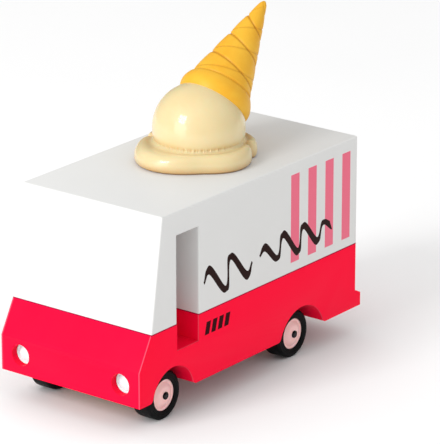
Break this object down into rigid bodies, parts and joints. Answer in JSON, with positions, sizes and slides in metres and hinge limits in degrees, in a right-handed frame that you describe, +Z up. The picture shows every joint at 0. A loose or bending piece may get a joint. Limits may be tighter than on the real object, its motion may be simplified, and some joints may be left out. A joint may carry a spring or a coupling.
{
  "type": "toy ice cream truck",
  "caption": "Palm-size toy ice cream truck: painted wood block van on free-rolling wheels, with an upturned wafer cone and scoop on its roof.",
  "frame": {"origin": "on the ground under the middle of the truck's length and width, wheels standing on z = 0", "axes": "+X towards the truck's front, +Y towards its left side, +Z up"},
  "size_m": [0.0916, 0.044, 0.0894],
  "materials": {
    "red_paint": "glossy lacquer on beech",
    "white_paint": "glossy lacquer on beech",
    "lamp_white": "glossy white disc",
    "bare_wood": "bare sanded beech",
    "steel": "bright drawn wire",
    "pink_plastic": "moulded, semi-gloss",
    "black_rubber": "moulded rubber",
    "black_cap": "moulded",
    "cream_plastic": "glossy painted casting",
    "wafer_plastic": "satin painted casting"
  },
  "bodies": {
    "truck_body": {"lower_body": "red_paint", "upper_body": "white_paint", "headlight_left": "lamp_white", "headlight_right": "lamp_white", "front_axle_block": "bare_wood", "rear_axle_block": "bare_wood", "scoop": "cream_plastic", "cone": "wafer_plastic"},
    "front_wheels": {"front_axle": "steel", "front_left_hub": "pink_plastic", "front_right_hub": "pink_plastic", "front_left_tyre": "black_rubber", "front_right_tyre": "black_rubber", "front_left_cap": "black_cap", "front_right_cap": "black_cap"},
    "rear_wheels": {"rear_axle": "steel", "rear_left_hub": "pink_plastic", "rear_right_hub": "pink_plastic", "rear_left_tyre": "black_rubber", "rear_right_tyre": "black_rubber", "rear_left_cap": "black_cap", "rear_right_cap": "black_cap"}
  },
  "joints": [
    {"name": "front_wheels_roll", "type": "hinge", "parent": "truck_body", "child": "front_wheels", "pos_m": [0.0327, 0, 0.00633], "axis": [0, 1, 0], "continuous": true},
    {"name": "rear_wheels_roll", "type": "hinge", "parent": "truck_body", "child": "rear_wheels", "pos_m": [-0.0202, 0, 0.00633], "axis": [0, 1, 0], "continuous": true}
  ]
}
